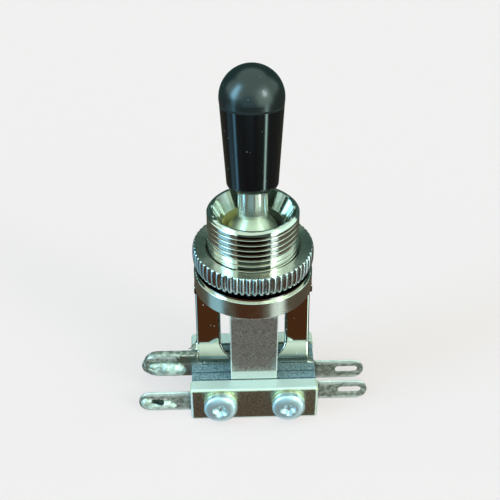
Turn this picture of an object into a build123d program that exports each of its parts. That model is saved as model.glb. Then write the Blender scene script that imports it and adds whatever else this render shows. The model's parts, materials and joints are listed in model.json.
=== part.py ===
from build123d import *
from math import atan2, cos, degrees, pi, radians, sin, tan
import os

# A three-way toggle switch of the panel-mount kind, in millimetres. +Z is up, the lever rocks
# along Y, and the solder lugs reach out along X. The origin lies under the bushing, on the
# surface that the leaf stack stands on.

# Bushing: one turned piece with a flange, a thread and a bell mouth
flange_top = 22.2
flange_radius = 7.85
flange_thickness = 2.5
flange_edge = 0.15
thread_radius = 5.95
thread_pitch_radius = 5.69
thread_rise = 9.4
rim_chamfer = 0.55
mouth_radius = 5.15
mouth_depth = 2.2
bore_radius = 3.95
spigot_radius = 4.1
stake_lip = 0.3
passage_top_radius = 2.3
passage_bottom_radius = 3.5

# Knurled ring nut, run down onto the flange
nut_overhang = 0.1
nut_height = 3.85
nut_foot_inset = 0.4
nut_foot_height = 0.45
nut_knurl_bottom = 1.15
nut_chamfer = 0.3
nut_bore_chamfer = 0.35
knurl_teeth = 58
knurl_depth = 0.28
thread_clearance = 0.02

# Lever, ball, knob and the nylon actuator below
pivot_above_flange = 5.2
lever_tilt = 13.0
ball_radius = 3.45
ball_floor_gap = 0.25
shaft_radius = 2.0
stem_radius = 1.1
pin_radius = 0.6
pin_clearance = 0.03
pin_end_inset = 0.15
knob_bottom = 6.4
knob_bottom_radius = 3.35
knob_bottom_edge = 1.0
knob_seam = 17.2
knob_seam_radius = 4.04
knob_equator = 18.0
knob_radius = 4.12
knob_brow = 0.28
knob_seam_width = 0.16
knob_seam_depth = 0.06
knob_roof = 4.0
shaft_end_gap = 1.2
shaft_chamfer = 0.3
actuator_drop = 12.0
actuator_radius = 1.6
actuator_length = 5.4
actuator_edge = 0.35
actuator_collar_radius = 1.75
actuator_collar_height = 2.1
stem_tail = 0.6

# Sheet frame: a crown under the flange, two legs, a joggle and the ground lug
sheet = 1.2
leg_width = 2.9
leg_offset = 1.2
leg_rake = 7.5
joggle_bottom = 6.5
joggle_top = 8.1
joggle_bend = 1.0
crown_bend = 1.2
crown_overlap = 0.1
crown_front_radius = 6.2
crown_shoulder = 0.9
tongue_half = 4.65
tongue_reach = 6.4
tongue_corner = 2.325
window_floor = 6.0
window_floor_half = 2.9
window_corner = 0.6
window_slope_rise = 0.3
ground_lug_reach = 15.5
ground_lug_bottom = 3.4
ground_lug_height = 4.05
ground_slot_length = 4.2
ground_slot_height = 1.5
ground_lug_fillet = 1.5

# Leaf stack, counted outwards from the frame's plate on each side
stack_height = 5.6
insulator_half = 8.65
inner_insulator = 1.4
fixed_leaf = 0.3
outer_insulator = 1.25
moving_leaf = 0.4
clamp_half = 8.85
front_clamp = 2.0
rear_clamp = 2.4
clamp_edge = 0.45
clamp_corner = 0.5

# Leaves and their solder lugs
leaf_half = 3.2
fixed_leaf_half = 3.0
fixed_leaf_top = 13.2
fixed_leaf_corner = 0.8
leaf_base_half = 8.3
leaf_base_recess = 0.3
blade_head_room = 0.45
blade_lip = 0.9
blade_lip_angle = 28.0
blade_root_gap = 0.05
contact_height = 12.0
contact_radius = 0.8
fixed_contact_thickness = 0.45
moving_contact_thickness = 0.35
contact_edge = 0.1
contact_gap = 0.06
actuator_gap = 0.08
lug_reach = 16.2
lug_height = 3.3
lug_lift = 0.05
lug_slot_length = 3.3
lug_slot_height = 1.1
lug_slot_rim = 0.85

# Screws, split washers and insulating sleeves
screw_spacing = 9.4
screw_lift = 0.4
screw_radius = 1.15
screw_length = 14.5
screw_tip_chamfer = 0.3
screw_head_radius = 2.3
screw_head_height = 1.3
screw_head_edge = 0.9
cross_width = 0.55
cross_length = 2.6
cross_depth = 0.8
screw_play = 0.1
tapped_play = 0.02
washer_thickness = 0.6
washer_outer = 2.3
washer_split = 0.35
washer_split_turn = 25.0
sleeve_outer = 1.6
sleeve_play = 0.05

# Solder left in two of the lug slots
solder_rise = 0.45
solder_edge = 0.3

# How far a cutting shape runs past what it cuts
cut_margin = 2.0

# Radii and widths that follow from the driving sizes
nut_radius = flange_radius + nut_overhang
nut_foot_radius = nut_radius - nut_foot_inset
leg_outer = flange_radius
leg_inner = leg_outer - leg_width

# Heights that follow from the driving sizes
flange_bottom = flange_top - flange_thickness
rim_top = flange_top + thread_rise
nut_top = flange_top + nut_height
pivot_z = flange_top + pivot_above_flange
bore_floor = pivot_z - ball_radius - ball_floor_gap
crown_bottom = flange_bottom - sheet
knob_top = knob_equator + knob_brow + knob_radius
lug_centre = lug_lift + lug_height / 2
ground_lug_centre = ground_lug_bottom + ground_lug_height / 2
screw_z = stack_height / 2 + screw_lift

# Distances from the middle plane to the faces of the stack
plate_face = sheet / 2
inner_face = plate_face + inner_insulator
fixed_leaf_face = inner_face + fixed_leaf
outer_face = fixed_leaf_face + outer_insulator
stack_face = outer_face + moving_leaf
front_face = stack_face + front_clamp
rear_face = stack_face + rear_clamp

# Where the moving blades flex, and how far they lean open and closed
hinge_y = outer_face + moving_leaf / 2
hinge_z = stack_height + blade_root_gap + moving_leaf / 2
blade_length = crown_bottom - hinge_z - blade_head_room
contact_arm = contact_height - hinge_z
contact_build = fixed_contact_thickness + contact_gap + moving_contact_thickness
closed_lean = degrees(atan2(outer_face - fixed_leaf_face - contact_build, contact_arm))
push_y = actuator_drop * sin(radians(lever_tilt)) + actuator_radius + actuator_gap
push_arm = pivot_z - actuator_drop * cos(radians(lever_tilt)) - hinge_z
open_lean = degrees(atan2(push_y - outer_face, push_arm))


def slab(sketch, near, far):
    """A flat sheet with an outline in X and Z, between two distances along Y."""
    face_plane = Plane(origin=(0, far, 0), x_dir=(1, 0, 0), z_dir=(0, -1, 0))
    return extrude(face_plane * sketch, amount=far - near)


def turned(*points):
    """A solid of revolution about Z from radius and height pairs."""
    outline = Polyline(*[(radius, 0, height) for radius, height in points], close=True)
    return revolve(make_face(outline), axis=Axis.Z)


def sided(side, low, high):
    """The low and high Y of a layer that lies between two distances from the middle plane."""
    return (low, high) if side > 0 else (-high, -low)


def screw_holes(radius):
    """The two screw holes of a stack layer, as circles in X and Z."""
    right = Pos(screw_spacing / 2, screw_z) * Circle(radius)
    return right + Pos(-screw_spacing / 2, screw_z) * Circle(radius)


def block(half_width, low, high):
    """A rectangle in X and Z, centred on the bushing's axis."""
    return Pos(0, (low + high) / 2) * Rectangle(2 * half_width, high - low)


def slot(left, right, centre, height):
    """A slot with round ends that runs along X."""
    return Pos((left + right) / 2, centre) * SlotOverall(right - left, height)


def lug(side, root, reach, bottom, height):
    """A solder lug with a round tip, from its root inside the stack out to its reach."""
    centre = bottom + height / 2
    blade = slot(root, reach, centre, height)
    square_root = Pos(root + height / 4, centre) * Rectangle(height / 2, height)
    outline = blade + square_root
    return outline if side > 0 else mirror(outline, about=Plane.YZ)


def lug_eye(side, reach, centre, length, height):
    """The slotted eye of a solder lug."""
    outer = reach - lug_slot_rim
    eye = slot(outer - length, outer, centre, height)
    return eye if side > 0 else mirror(eye, about=Plane.YZ)


def make_bushing():
    spigot_bottom = crown_bottom - stake_lip
    body = turned(
        (passage_bottom_radius, spigot_bottom),
        (spigot_radius, spigot_bottom),
        (spigot_radius + stake_lip, crown_bottom - stake_lip / 2),
        (spigot_radius + stake_lip, crown_bottom),
        (spigot_radius, crown_bottom),
        (spigot_radius, flange_bottom),
        (flange_radius - flange_edge, flange_bottom),
        (flange_radius, flange_bottom + flange_edge),
        (flange_radius, flange_top - flange_edge),
        (flange_radius - flange_edge, flange_top),
        (thread_pitch_radius, flange_top),
        (thread_pitch_radius, nut_top),
        (thread_radius, nut_top),
        (thread_radius, rim_top - rim_chamfer),
        (thread_radius - rim_chamfer, rim_top),
        (mouth_radius, rim_top),
        (bore_radius, rim_top - mouth_depth),
        (bore_radius, bore_floor),
        (passage_top_radius, bore_floor),
    )
    pin_hole = Pos(0, 0, pivot_z) * Rot(Y=90) * Cylinder(pin_radius, 2 * (thread_radius + cut_margin))
    return body - pin_hole


def make_nut():
    bore = thread_pitch_radius + thread_clearance
    body = turned(
        (bore, flange_top),
        (nut_foot_radius, flange_top),
        (nut_foot_radius, flange_top + nut_foot_height),
        (nut_radius, flange_top + nut_knurl_bottom),
        (nut_radius, nut_top - nut_chamfer),
        (nut_radius - nut_chamfer, nut_top),
        (bore + nut_bore_chamfer, nut_top),
        (bore, nut_top - nut_bore_chamfer),
    )
    step = 2 * pi / knurl_teeth
    crown_points = []
    for tooth in range(knurl_teeth):
        for share, radius in ((0.0, nut_radius), (0.5, nut_radius - knurl_depth)):
            angle = (tooth + share) * step
            crown_points.append((radius * cos(angle), radius * sin(angle)))
    star = make_face(Polyline(*crown_points, close=True))
    return body & Pos(0, 0, flange_top) * extrude(star, amount=nut_height)


def make_lever():
    top = knob_top - knob_roof - shaft_end_gap
    rod = turned(
        (0, 0),
        (shaft_radius, 0),
        (shaft_radius, top - shaft_chamfer),
        (shaft_radius - shaft_chamfer, top),
        (0, top),
    )
    stem_end = actuator_drop + stem_tail
    stem = Pos(0, 0, -stem_end / 2) * Cylinder(stem_radius, stem_end)
    ball = Sphere(ball_radius)
    hole = Rot(Y=90) * Cylinder(pin_radius + pin_clearance, 2 * (ball_radius + cut_margin))
    return (rod + ball + stem) - hole


def make_knob():
    seam_low = knob_seam - knob_seam_width / 2
    seam_high = knob_seam + knob_seam_width / 2
    foot_inner = knob_bottom_radius - knob_bottom_edge
    foot_top = knob_bottom + knob_bottom_edge
    corner = (foot_inner + knob_bottom_edge * sin(pi / 4), foot_top - knob_bottom_edge * cos(pi / 4))
    groove = knob_seam_radius - knob_seam_depth
    dome_centre = knob_top - knob_radius
    brow = (knob_radius * cos(pi / 4), dome_centre + knob_radius * sin(pi / 4))
    outline = [
        Line((0, knob_bottom), (foot_inner, knob_bottom)),
        ThreePointArc((foot_inner, knob_bottom), corner, (knob_bottom_radius, foot_top)),
        Polyline(
            (knob_bottom_radius, foot_top),
            (knob_seam_radius, seam_low),
            (groove, knob_seam),
            (knob_seam_radius, seam_high),
            (knob_radius, knob_equator),
            (knob_radius, dome_centre),
        ),
        ThreePointArc((knob_radius, dome_centre), brow, (0, knob_top)),
        Line((0, knob_top), (0, knob_bottom)),
    ]
    body = revolve(Plane.XZ * make_face(Curve(outline)), axis=Axis.Z)
    bore_top = knob_top - knob_roof
    bore = Pos(0, 0, bore_top / 2) * Cylinder(shaft_radius, bore_top)
    return body - bore


def make_actuator():
    barrel = Rot(Y=90) * Cylinder(actuator_radius, actuator_length)
    barrel = fillet(barrel.edges().filter_by(GeomType.CIRCLE), actuator_edge)
    collar = Pos(0, 0, actuator_collar_height / 2) * Cylinder(actuator_collar_radius, actuator_collar_height)
    hole_length = stem_tail + actuator_collar_height + cut_margin
    hole = Pos(0, 0, -stem_tail + hole_length / 2) * Cylinder(stem_radius, hole_length)
    return Pos(0, 0, -actuator_drop) * (barrel + collar - hole)


def tilt_with_lever(piece):
    """A lever piece, from its own upright axes to where the leaning lever holds it."""
    return Pos(0, 0, pivot_z) * Rot(X=-lever_tilt) * piece


def make_pivot_pin():
    length = 2 * (thread_pitch_radius - pin_end_inset)
    return Pos(0, 0, pivot_z) * Rot(Y=90) * Cylinder(pin_radius, length)


def frame_window():
    """The opening between the legs, narrowing over the joggle to its floor."""
    slope_top = joggle_top + window_slope_rise
    outline = Polyline(
        (-leg_inner, crown_bottom + sheet + cut_margin),
        (-leg_inner, slope_top),
        (-window_floor_half, window_floor),
        (window_floor_half, window_floor),
        (leg_inner, slope_top),
        (leg_inner, crown_bottom + sheet + cut_margin),
        close=True,
    )
    opening = make_face(outline)
    low_corners = opening.vertices().filter_by(lambda corner: corner.Y < crown_bottom)
    return fillet(low_corners, window_corner)


def ground_lug_web():
    """The rounded corner between the ground lug's top edge and the leg beside it."""
    size = ground_lug_fillet
    lug_top = ground_lug_bottom + ground_lug_height
    corner = Pos(-leg_outer - size / 2, lug_top + size / 2) * Rectangle(size, size)
    root = Pos(-leg_outer - size / 2, lug_top - size / 2) * Rectangle(size, size)
    return corner + root - Pos(-leg_outer - size, lug_top + size) * Circle(size)


def make_frame():
    crown_mid = flange_bottom - sheet / 2
    leg_top_offset = leg_offset + (crown_mid - joggle_top) * tan(radians(leg_rake))
    path = FilletPolyline(
        (0, 0, 0),
        (0, 0, joggle_bottom),
        (0, leg_offset, joggle_top),
        (0, leg_top_offset, crown_mid),
        (0, -crown_overlap, crown_mid),
        radius=[joggle_bend, joggle_bend, crown_bend],
    )
    web_half = leg_outer + ground_lug_fillet
    section = Plane(origin=(0, 0, 0), x_dir=(1, 0, 0), z_dir=(0, 0, 1)) * Rectangle(2 * web_half, sheet)
    folded = sweep(section, path)
    outline = block(insulator_half, 0, stack_height)
    outline += block(leg_outer, stack_height / 2, flange_bottom)
    outline += ground_lug_web()
    outline -= frame_window()
    depth = leg_top_offset + sheet
    legs = folded & slab(outline, -depth, depth)
    shoulder = Box(2 * flange_radius, 2 * crown_shoulder, sheet) & Cylinder(flange_radius, sheet)
    crown = Pos(0, 0, crown_mid) * (Cylinder(crown_front_radius, sheet) + shoulder)
    wide = 2 * (flange_radius + cut_margin)
    behind = Pos(0, flange_radius, crown_mid) * Box(wide, 2 * flange_radius, sheet + cut_margin)
    tongue = Pos(0, tongue_reach / 2, crown_mid) * Box(2 * tongue_half, tongue_reach, sheet)
    tongue = fillet(tongue.edges().filter_by(Axis.Z).group_by(Axis.Y)[-1], tongue_corner)
    crown = (crown - behind) + tongue
    crown -= Pos(0, 0, crown_mid) * Cylinder(spigot_radius, sheet + cut_margin)
    ground = lug(-1, leg_inner, ground_lug_reach, ground_lug_bottom, ground_lug_height)
    ground -= lug_eye(-1, ground_lug_reach, ground_lug_centre, ground_slot_length, ground_slot_height)
    body = legs + crown + slab(ground, -plate_face, plate_face)
    return body - slab(screw_holes(sleeve_outer + sleeve_play), -sheet, sheet)


def make_insulator(side, low, high):
    outline = block(insulator_half, 0, stack_height) - screw_holes(sleeve_outer + sleeve_play)
    return slab(outline, *sided(side, low, high))


def make_clamp(side, thickness, hole_radius):
    outline = block(clamp_half, 0, stack_height)
    outline = fillet(outline.vertices(), clamp_corner)
    outline -= screw_holes(hole_radius)
    plate = slab(outline, *sided(side, stack_face, stack_face + thickness))
    outer_side = plate.faces().sort_by(Axis.Y)[-1 if side > 0 else 0]
    return fillet(outer_side.outer_wire().edges(), clamp_edge)


def leaf_base(lug_side):
    """The part of a leaf that the stack clamps, with its solder lug."""
    outline = block(leaf_base_half, lug_lift, stack_height - leaf_base_recess)
    outline += lug(lug_side, leaf_base_half / 2, lug_reach, lug_lift, lug_height)
    return outline - lug_eye(lug_side, lug_reach, lug_centre, lug_slot_length, lug_slot_height)


def make_fixed_leaf(side):
    upright = block(fixed_leaf_half, stack_height / 2, fixed_leaf_top)
    upright = fillet(upright.vertices().group_by(Axis.Y)[-1], fixed_leaf_corner)
    outline = leaf_base(1) + upright - screw_holes(sleeve_outer + sleeve_play)
    return slab(outline, *sided(side, inner_face, fixed_leaf_face))


def make_moving_terminal(side):
    outline = leaf_base(-1) + block(leaf_half, stack_height / 2, stack_height)
    outline -= screw_holes(sleeve_outer + sleeve_play)
    return slab(outline, *sided(side, outer_face, stack_face))


def make_blade(side, lean):
    """A moving blade from the line where it flexes up to its outward lip."""
    straight = blade_length - blade_lip
    turn = radians(blade_lip_angle)
    bend = blade_lip / turn
    lip_y = side * bend * (1 - cos(turn))
    lip_mid_y = side * bend * (1 - cos(turn / 2))
    rise = Line((0, 0, 0), (0, 0, straight))
    lip_mid = (0, lip_mid_y, straight + bend * sin(turn / 2))
    curl = ThreePointArc((0, 0, straight), lip_mid, (0, lip_y, straight + bend * sin(turn)))
    section = Rectangle(2 * leaf_half, moving_leaf)
    strip = sweep(section, Wire([rise, curl]))
    root = Rot(Y=90) * Cylinder(moving_leaf / 2, 2 * leaf_half)
    return lean_blade(side, lean, strip + root)


def lean_blade(side, lean, piece):
    """A blade piece, from its own upright axes to its lean about the flexing line."""
    return Pos(0, side * hinge_y, hinge_z) * Rot(X=lean) * piece


def make_button(side, face, height, thickness):
    """A contact button that stands on a leaf's face, towards one side along Y."""
    button = Rot(X=-90 * side) * Cylinder(contact_radius, thickness)
    rim = button.edges().group_by(Axis.Y)[-1 if side > 0 else 0]
    button = fillet(rim, contact_edge)
    return Pos(0, face + side * thickness / 2, height) * button


def make_fixed_contacts():
    return [make_button(side, side * fixed_leaf_face, contact_height, fixed_contact_thickness)
            for side in (-1, 1)]


def make_blade_contact(side, lean):
    button = make_button(-side, -side * moving_leaf / 2, contact_arm, moving_contact_thickness)
    return lean_blade(side, lean, button)


def screw_spots(y):
    """The two places along the stack where the screws pass, at one distance along Y."""
    return [(x, y, screw_z) for x in (-screw_spacing / 2, screw_spacing / 2)]


def make_screws():
    seat = front_face + washer_thickness
    screws = []
    for x, y, z in screw_spots(-seat):
        head = Pos(0, 0, screw_head_height / 2) * Cylinder(screw_head_radius, screw_head_height)
        head = fillet(head.edges().group_by(Axis.Z)[-1], screw_head_edge)
        for turn in (0, 90):
            arm = Rot(Z=turn) * Box(cross_length, cross_width, 2 * cross_depth)
            head -= Pos(0, 0, screw_head_height) * arm
        shank = Pos(0, 0, -screw_length / 2) * Cylinder(screw_radius, screw_length)
        shank = chamfer(shank.edges().group_by(Axis.Z)[0], screw_tip_chamfer)
        screws.append(Pos(x, y, z) * Rot(X=90) * (head + shank))
    return screws


def make_lock_washers():
    washers = []
    for x, y, z in screw_spots(-front_face - washer_thickness / 2):
        ring = Cylinder(washer_outer, washer_thickness)
        ring -= Cylinder(screw_radius + screw_play, washer_thickness)
        split = Box(2 * washer_outer, washer_split, washer_thickness)
        ring -= Pos(-washer_outer, 0, 0) * Rot(Z=washer_split_turn) * split
        washers.append(Pos(x, y, z) * Rot(X=90) * ring)
    return washers


def make_sleeves():
    sleeves = []
    for x, y, z in screw_spots(0):
        tube = Cylinder(sleeve_outer, 2 * stack_face) - Cylinder(screw_radius + screw_play, 2 * stack_face)
        sleeves.append(Pos(x, y, z) * Rot(X=90) * tube)
    return sleeves


def make_bead(eye, low, high):
    """A bead of solder that fills a lug's eye and swells out on both faces."""
    bead = slab(eye, low - solder_rise, high + solder_rise)
    ends = bead.faces().filter_by(Axis.Y)
    return fillet(ends.edges(), solder_edge)


def make_solder():
    ground_eye = lug_eye(-1, ground_lug_reach, ground_lug_centre, ground_slot_length, ground_slot_height)
    front_eye = lug_eye(-1, lug_reach, lug_centre, lug_slot_length, lug_slot_height)
    return [
        make_bead(ground_eye, -plate_face, plate_face),
        make_bead(front_eye, -stack_face, -outer_face),
    ]


def build():
    tapped = screw_radius + tapped_play
    clearance = screw_radius + screw_play
    nodes = {
        "bushing": make_bushing(),
        "knurled_nut": make_nut(),
        "frame": make_frame(),
        "pivot_pin": make_pivot_pin(),
        "lever": tilt_with_lever(make_lever()),
        "knob": tilt_with_lever(make_knob()),
        "actuator": tilt_with_lever(make_actuator()),
        "front_clamp_plate": make_clamp(-1, front_clamp, clearance),
        "rear_clamp_plate": make_clamp(1, rear_clamp, tapped),
        "front_fixed_leaf": make_fixed_leaf(-1),
        "rear_fixed_leaf": make_fixed_leaf(1),
        "front_moving_terminal": make_moving_terminal(-1),
        "rear_moving_terminal": make_moving_terminal(1),
        "front_blade": make_blade(-1, open_lean),
        "rear_blade": make_blade(1, closed_lean),
        "front_blade_contact": make_blade_contact(-1, open_lean),
        "rear_blade_contact": make_blade_contact(1, closed_lean),
        "fixed_contacts": Compound(children=make_fixed_contacts()),
        "screws": Compound(children=make_screws()),
        "lock_washers": Compound(children=make_lock_washers()),
        "screw_sleeves": Compound(children=make_sleeves()),
        "solder": Compound(children=make_solder()),
    }
    for side, name in ((-1, "front"), (1, "rear")):
        nodes[name + "_inner_insulator"] = make_insulator(side, plate_face, inner_face)
        nodes[name + "_outer_insulator"] = make_insulator(side, fixed_leaf_face, outer_face)
    return nodes


os.makedirs("parts", exist_ok=True)
for node_name, solid in build().items():
    export_step(solid, "parts/" + node_name + ".step")
print("blade leans, degrees: open", round(open_lean, 2), "closed", round(closed_lean, 2))
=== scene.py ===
import json
import math

import bmesh
import bpy
from mathutils import Matrix, Vector
from mathutils.noise import noise as noise_at


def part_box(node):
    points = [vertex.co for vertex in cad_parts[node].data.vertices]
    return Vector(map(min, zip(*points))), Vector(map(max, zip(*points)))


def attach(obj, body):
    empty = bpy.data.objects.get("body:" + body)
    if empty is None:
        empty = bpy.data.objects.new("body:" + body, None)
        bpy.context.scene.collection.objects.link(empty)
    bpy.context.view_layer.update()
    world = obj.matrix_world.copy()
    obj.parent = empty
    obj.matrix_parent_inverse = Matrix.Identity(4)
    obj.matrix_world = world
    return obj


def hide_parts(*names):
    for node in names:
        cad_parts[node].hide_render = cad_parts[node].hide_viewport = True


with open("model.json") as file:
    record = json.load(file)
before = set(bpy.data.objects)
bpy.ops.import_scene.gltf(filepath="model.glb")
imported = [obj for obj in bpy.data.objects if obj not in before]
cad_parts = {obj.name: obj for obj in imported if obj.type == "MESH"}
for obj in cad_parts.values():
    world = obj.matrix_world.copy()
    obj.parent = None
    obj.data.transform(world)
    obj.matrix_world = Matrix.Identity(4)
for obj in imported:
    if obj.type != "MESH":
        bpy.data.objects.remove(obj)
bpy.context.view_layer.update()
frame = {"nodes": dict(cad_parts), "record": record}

# Sizes that the shapes and their finishes share

MM = 0.001
TURN = 2 * math.pi
PIVOT_Z = 27.4 * MM
LEVER_LEAN = math.radians(13)
THREAD_PITCH = 0.794 * MM
THREAD_ROOT_SHARE = 0.04
THREAD_CREST_SHARE = 0.30
THREAD_SHARPNESS = 0.75
THREAD_START_DEPTH = 0.3 * MM
THREAD_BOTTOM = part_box("knurled_nut")[1].z - THREAD_START_DEPTH
STACK_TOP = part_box("front_inner_insulator")[1].z
LUG_BOTTOM = 3.4 * MM
LUG_HEIGHT = 4.05 * MM
LUG_TOP = LUG_BOTTOM + LUG_HEIGHT
LUG_MIDDLE = LUG_BOTTOM + LUG_HEIGHT / 2


# Node-tree helpers


class Tree:
    """A short way to write a material's or the world's nodes."""

    def __init__(self, owner):
        owner.use_nodes = True
        self.nodes = owner.node_tree.nodes
        self.links = owner.node_tree.links
        self.nodes.clear()

    def add(self, kind, inputs=None, **settings):
        """A shader node with some settings, whose inputs are sockets or plain values."""
        node = self.nodes.new("ShaderNode" + kind)
        for name, value in settings.items():
            setattr(node, name, value)
        for name, value in (inputs or {}).items():
            self.feed(node.inputs[name], value)
        return node

    def feed(self, socket, value):
        if isinstance(value, bpy.types.NodeSocket):
            self.links.new(value, socket)
        else:
            socket.default_value = value

    def math(self, operation, *values):
        return self.add("Math", dict(enumerate(values)), operation=operation).outputs[0]

    def vector(self, operation, *values, output="Vector"):
        node = self.add("VectorMath", dict(enumerate(values)), operation=operation)
        return node.outputs[output]

    def both(self, first, second):
        return self.math("MULTIPLY", first, second)

    def away(self, value, middle):
        """How far a value lies from a middle."""
        return self.math("ABSOLUTE", self.math("SUBTRACT", value, middle))

    def ramp(self, value, low, high, start=0.0, end=1.0):
        """A smooth step from start to end, while a value goes from low to high."""
        inputs = {"Value": value, "From Min": low, "From Max": high, "To Min": start, "To Max": end}
        return self.add("MapRange", inputs, interpolation_type="SMOOTHSTEP").outputs[0]

    def between(self, share, first, second):
        """A number from first to second by a share of none to one."""
        return self.ramp(share, 0.0, 1.0, first, second)

    def mix(self, share, first, second):
        """A colour from first to second by a share of none to one."""
        node = self.add("Mix", {"Factor": share}, data_type="RGBA")
        self.feed(node.inputs["A"], first)
        self.feed(node.inputs["B"], second)
        return node.outputs["Result"]

    def show(self, shader, output="OutputMaterial"):
        self.feed(self.add(output).inputs["Surface"], shader.outputs[0])


def linked(name, data):
    item = bpy.data.objects.new(name, data)
    bpy.context.scene.collection.objects.link(item)
    return item


def rgb(red, green, blue):
    return (red, green, blue, 1.0)


# The room that the metal reflects: soft patches of light by direction, in degrees

ROOM_PATCHES = (
    # colour, azimuth from the front towards the right and half width, elevation and half height, softness
    (rgb(0.10, 0.085, 0.06), (0, 180), (-60, 62), 10),
    (rgb(0.05, 0.10, 0.085), (180, 55), (10, 29), 7),
    (rgb(0.05, 0.10, 0.085), (-180, 60), (10, 29), 7),
    (rgb(0.075, 0.03, 0.012), (-8, 22), (-50, 46), 14),
    (rgb(0.30, 0.60, 0.72), (-80, 10), (-52, 24), 14),
    (rgb(0.78, 0.94, 0.92), (48, 8), (-54, 24), 12),
    (rgb(0.8, 2.0, 2.8), (-66, 0.5), (-12, 14), 7),
    (rgb(4.4, 6.6, 6.0), (49, 1.0), (-12, 14), 5),
    (rgb(0.80, 0.95, 0.95), (0, 180), (-90, 12), 5),
    (rgb(0.34, 0.62, 0.70), (-14, 14), (10, 12), 12),
    (rgb(3.8, 8.0, 10.5), (-70, 4), (27, 16), 12),
    (rgb(1.6, 2.2, 1.9), (45, 20), (20, 18), 14),
    (rgb(14.0, 17.0, 17.0), (50, 3), (28, 5), 5),
)
CEILING = rgb(0.82, 1.12, 0.98)


def light_room():
    world = bpy.data.worlds.new("room")
    bpy.context.scene.world = world
    tree = Tree(world)
    direction = tree.add("TexCoord").outputs["Generated"]
    parts = tree.add("SeparateXYZ", {"Vector": direction}).outputs
    behind = tree.math("MULTIPLY", parts["Y"], -1.0)
    azimuth = tree.math("DEGREES", tree.math("ARCTAN2", parts["X"], behind))
    elevation = tree.math("DEGREES", tree.math("ARCSINE", parts["Z"]))
    colour = CEILING
    for patch, (azimuth_mid, half_width), (elevation_mid, half_height), soft in ROOM_PATCHES:
        across = tree.ramp(tree.away(azimuth, azimuth_mid), half_width + soft, half_width)
        along = tree.ramp(tree.away(elevation, elevation_mid), half_height + soft, half_height)
        colour = tree.mix(tree.both(across, along), colour, patch)
    sky = tree.add("Background", {"Color": colour, "Strength": 1.0})
    tree.show(sky, "OutputWorld")


# Stage: a pale floor and a pale dome behind it that only the camera sees

FLOOR_REACH = 1.4
FLOOR_GLOW = 0.6
FLOOR_COLOUR = rgb(0.345, 0.236, 0.23)
DOME_COLOUR = rgb(0.93, 0.94, 0.955)


def build_stage():
    bpy.ops.mesh.primitive_circle_add(vertices=96, radius=FLOOR_REACH, fill_type="NGON")
    floor = bpy.context.object
    floor.name = "floor"
    material = bpy.data.materials.new("pale_floor")
    tree = Tree(material)
    lit = tree.add("BsdfDiffuse", {"Color": FLOOR_COLOUR})
    glow = tree.add("Emission", {"Color": DOME_COLOUR, "Strength": FLOOR_GLOW})
    tree.show(tree.add("AddShader", {0: lit.outputs[0], 1: glow.outputs[0]}))
    floor.data.materials.append(material)
    floor.visible_glossy = False
    bpy.ops.mesh.primitive_uv_sphere_add(segments=64, ring_count=32, radius=FLOOR_REACH)
    dome = bpy.context.object
    dome.name = "backdrop"
    material = bpy.data.materials.new("pale_backdrop")
    tree = Tree(material)
    tree.show(tree.add("Emission", {"Color": DOME_COLOUR, "Strength": 1.0}))
    dome.data.materials.append(material)
    dome.visible_glossy = False
    dome.visible_diffuse = False
    dome.visible_shadow = False
    dome.visible_transmission = False


# Camera at the photograph's angle: the flange's top centre shows at the given pixel

VIEW_AZIMUTH = math.radians(-1.95)
VIEW_ELEVATION = math.radians(36.8)
VIEW_DISTANCE = 136.6 * MM
FOCAL_PIXELS = 1030.0
PICTURE_PIXELS = 500.0
SENSOR_MM = 36.0
LOOK_PIXEL = (253.0, 267.2)
NEAREST = 0.005
FARTHEST = 10.0


def place_camera():
    look = Vector((0, 0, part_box("knurled_nut")[0].z))
    back = Vector((
        math.sin(VIEW_AZIMUTH) * math.cos(VIEW_ELEVATION),
        -math.cos(VIEW_AZIMUTH) * math.cos(VIEW_ELEVATION),
        math.sin(VIEW_ELEVATION),
    ))
    right = Vector((math.cos(VIEW_AZIMUTH), math.sin(VIEW_AZIMUTH), 0))
    up = back.cross(right)
    data = bpy.data.cameras.new("camera")
    data.sensor_width = SENSOR_MM
    data.lens = FOCAL_PIXELS / PICTURE_PIXELS * SENSOR_MM
    data.shift_x = (PICTURE_PIXELS / 2 - LOOK_PIXEL[0]) / PICTURE_PIXELS
    data.shift_y = (LOOK_PIXEL[1] - PICTURE_PIXELS / 2) / PICTURE_PIXELS
    data.clip_start = NEAREST
    data.clip_end = FARTHEST
    camera = linked("camera", data)
    turn = Matrix((right, up, back)).transposed().to_4x4()
    camera.matrix_world = Matrix.Translation(look + back * VIEW_DISTANCE) @ turn
    bpy.context.scene.camera = camera


# Finish helpers: a mask goes from none to full between the two values of its band

WEAR_SCALE = 500
WEAR_BAND = (0.3, 0.7)
SPECK_SPREAD = 0.6
SPECK_SHARE = (0.56, 0.60)
SPECK_CORE = 0.6
TURNED_SCALE = 9000
TURNED_WANDER = 0.0004
QUARTER_TURN = 0.25
MATERIALS = {}


class Finish(Tree):
    """The tree of a new material with one Principled shader; MATERIALS keeps it by name."""

    def __init__(self, name, inputs):
        MATERIALS[name] = bpy.data.materials.new(name)
        super().__init__(MATERIALS[name])
        self.shader = self.add("BsdfPrincipled", inputs)
        self.show(self.shader)

    def give(self, name, value):
        """Feeds an input of the shader."""
        self.feed(self.shader.inputs[name], value)


def object_place(tree, stretch=(1, 1, 1)):
    """The surface's own place in metres, stretched along the axes."""
    place = tree.add("TexCoord").outputs["Object"]
    return tree.vector("MULTIPLY", place, stretch)


def place_parts(tree):
    """The surface's own X, Y and Z in metres."""
    return tree.add("SeparateXYZ", {"Vector": object_place(tree)}).outputs


def noise(tree, scale, detail=3.0, stretch=(1, 1, 1)):
    """A noise value over the surface's own place, with features of 1/scale metres."""
    inputs = {"Vector": object_place(tree, stretch), "Scale": scale, "Detail": detail}
    return tree.add("TexNoise", inputs).outputs["Fac"]


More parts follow.
